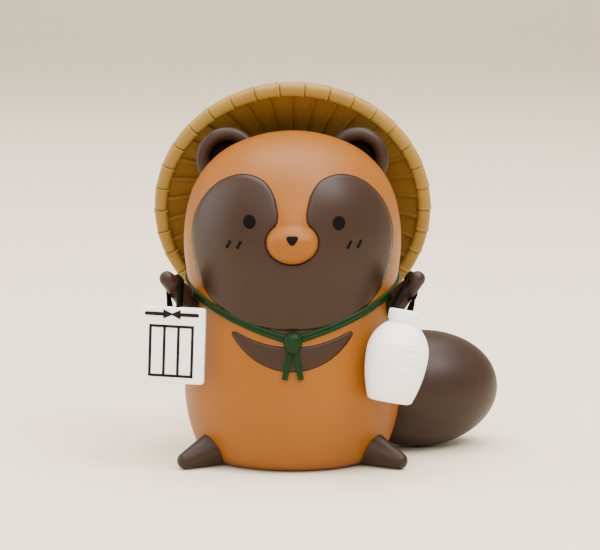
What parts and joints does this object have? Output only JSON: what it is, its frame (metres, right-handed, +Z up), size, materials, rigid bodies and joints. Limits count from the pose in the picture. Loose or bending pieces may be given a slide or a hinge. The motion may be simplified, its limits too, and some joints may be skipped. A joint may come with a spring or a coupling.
{
  "type": "tanuki figure",
  "caption": "Small moulded raccoon-dog figure with a straw hat behind its head, a tied chin cord, round tail, swivelling stub arms, and a ledger and sake bottle hung on loops.",
  "frame": {"origin": "centre of the flat base, on the surface that the figure stands on", "axes": "+Z up; the figure faces -Y and its own left side is towards +X"},
  "size_m": [0.0652, 0.0451, 0.0676],
  "materials": {
    "orange_paint": "satin",
    "brown_paint": "satin",
    "black_paint": "satin",
    "green_cord": "satin",
    "hat_straw": "satin",
    "hat_plates": "satin",
    "white_paint": "satin",
    "ledger_ink": "matte"
  },
  "bodies": {
    "figure": {"base_plug": "orange_paint", "belly_crescent": "brown_paint", "body_back": "orange_paint", "body_front": "orange_paint", "cord_knot": "green_cord", "face_mask": "brown_paint", "hat_crown": "hat_plates", "hat_rim": "hat_straw", "left_cheek_marks": "black_paint", "left_chin_cord": "green_cord", "left_ear": "brown_paint", "left_eye": "black_paint", "left_foot": "brown_paint", "nose": "black_paint", "right_cheek_marks": "black_paint", "right_chin_cord": "green_cord", "right_ear": "brown_paint", "right_eye": "black_paint", "right_foot": "brown_paint", "tail": "brown_paint"},
    "right_arm": {"right_arm": "brown_paint"},
    "left_arm": {"left_arm": "brown_paint"},
    "ledger": {"ledger": "white_paint", "ledger_binding": "ledger_ink", "ledger_loop": "black_paint"},
    "bottle": {"bottle": "white_paint", "bottle_loop": "black_paint"}
  },
  "joints": [
    {"name": "right_arm_swivel", "type": "hinge", "parent": "figure", "child": "right_arm", "pos_m": [-0.01754, -0.00621, 0.0283], "axis": [-0.9426, -0.3338, 0], "range_deg": [-8, 12]},
    {"name": "left_arm_swivel", "type": "hinge", "parent": "figure", "child": "left_arm", "pos_m": [0.01754, -0.00621, 0.0283], "axis": [0.9426, -0.3338, 0], "range_deg": [-15, 0]},
    {"name": "ledger_swing", "type": "hinge", "parent": "right_arm", "child": "ledger", "pos_m": [-0.01754, -0.00621, 0.0283], "axis": [-0.4744, -0.6326, 0.6122], "range_deg": [-20, 0]},
    {"name": "bottle_swing", "type": "hinge", "parent": "left_arm", "child": "bottle", "pos_m": [0.01754, -0.00621, 0.0283], "axis": [0.4744, -0.6326, 0.6122], "range_deg": [0, 25]}
  ]
}
